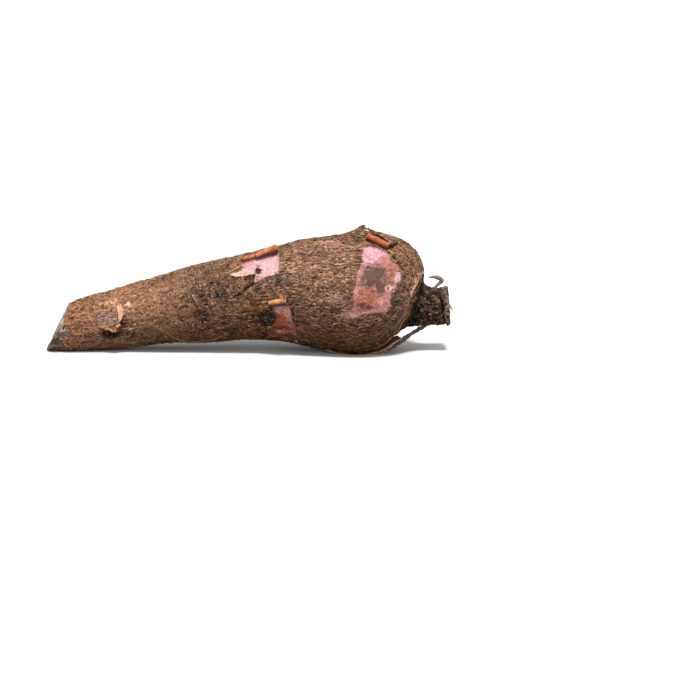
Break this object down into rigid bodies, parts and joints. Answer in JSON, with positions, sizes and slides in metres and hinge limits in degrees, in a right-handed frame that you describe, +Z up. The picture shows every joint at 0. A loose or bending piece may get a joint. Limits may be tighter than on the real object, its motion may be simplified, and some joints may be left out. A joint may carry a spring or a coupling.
{
  "type": "cassava root",
  "caption": "Whole cassava root lying on its side: rough brown bark over a body that swells towards a woody neck stump, with peeled pink patches and rolled bark curls.",
  "frame": {"origin": "middle of the bounding box's underside, on the surface that the root lies on", "axes": "+X from the tail to the neck, +Z up, -Y the side with the peeled patches"},
  "size_m": [0.2762, 0.082, 0.0852],
  "materials": {
    "bark": "dry, rough, flaking brown bark with pale fibre flecks",
    "inner_bark": "matt, slightly moist pink to salmon inner bark with grey-brown stains",
    "bark_curl": "smooth orange-brown inner face of rolled bark",
    "neck_wood": "dark, rough, fibrous wood",
    "root_hair": "dry, grey-brown rootlets"
  },
  "bodies": {
    "root": {"cassava_root": "bark"}
  },
  "joints": []
}
